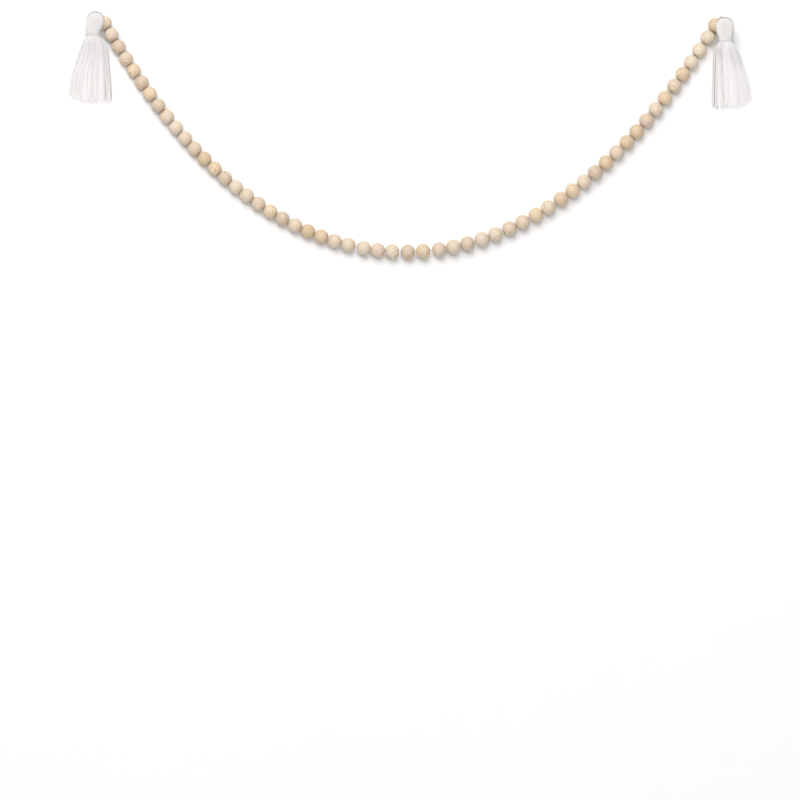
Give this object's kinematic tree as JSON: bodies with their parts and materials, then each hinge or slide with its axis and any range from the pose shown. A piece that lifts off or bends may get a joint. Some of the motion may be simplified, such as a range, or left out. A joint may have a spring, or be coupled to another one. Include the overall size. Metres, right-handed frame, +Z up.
{
  "type": "wood bead garland",
  "caption": "Natural wood bead garland on a white cotton cord, hanging in a swag by its ends, with a white cotton tassel at each end.",
  "frame": {"origin": "midway between the two hang points, at the underside of the cord where it lies over a nail", "axes": "+X to the right along the wall, +Z up, +Y towards the wall; the middle of the beads is at Y 0 and the wall they lie against is at about Y 0.008"},
  "size_m": [0.7571, 0.0279, 0.2739],
  "materials": {
    "wood_cream": "unfinished, sanded pale wood, cream",
    "wood_honey": "unfinished, sanded pale wood, honey",
    "wood_rose": "unfinished, sanded pale wood, a little pink",
    "cotton_cord": "matte twisted cotton cord, natural white",
    "cotton_yarn": "matte cotton yarn, warm white"
  },
  "bodies": {
    "root": {"bead_01": "wood_cream", "bead_02": "wood_rose", "bead_03": "wood_rose", "bead_04": "wood_cream", "bead_05": "wood_honey", "bead_06": "wood_rose", "bead_07": "wood_honey", "bead_08": "wood_rose", "bead_09": "wood_rose", "bead_10": "wood_cream", "bead_11": "wood_rose", "bead_12": "wood_cream", "bead_13": "wood_honey", "bead_14": "wood_honey", "bead_15": "wood_rose", "bead_16": "wood_cream", "bead_17": "wood_cream", "bead_18": "wood_rose", "bead_19": "wood_honey", "bead_20": "wood_rose", "bead_21": "wood_rose", "bead_22": "wood_honey", "bead_23": "wood_honey", "bead_24": "wood_rose", "bead_25": "wood_cream", "bead_26": "wood_cream", "bead_27": "wood_rose", "bead_28": "wood_cream", "bead_29": "wood_rose", "bead_30": "wood_honey", "bead_31": "wood_rose", "bead_32": "wood_cream", "bead_33": "wood_rose", "bead_34": "wood_cream", "bead_35": "wood_cream", "bead_36": "wood_rose", "bead_37": "wood_cream", "bead_38": "wood_honey", "bead_39": "wood_cream", "bead_40": "wood_honey", "bead_41": "wood_honey", "bead_42": "wood_rose", "bead_43": "wood_rose", "bead_44": "wood_honey", "bead_45": "wood_rose", "bead_46": "wood_honey", "bead_47": "wood_honey", "bead_48": "wood_rose", "bead_49": "wood_rose", "bead_50": "wood_honey", "bead_51": "wood_cream", "bead_52": "wood_honey", "bead_53": "wood_cream", "bead_54": "wood_cream", "bead_55": "wood_cream", "bead_56": "wood_honey", "cord": "cotton_cord", "tassel_left": "cotton_yarn", "tassel_right": "cotton_yarn"}
  },
  "joints": []
}
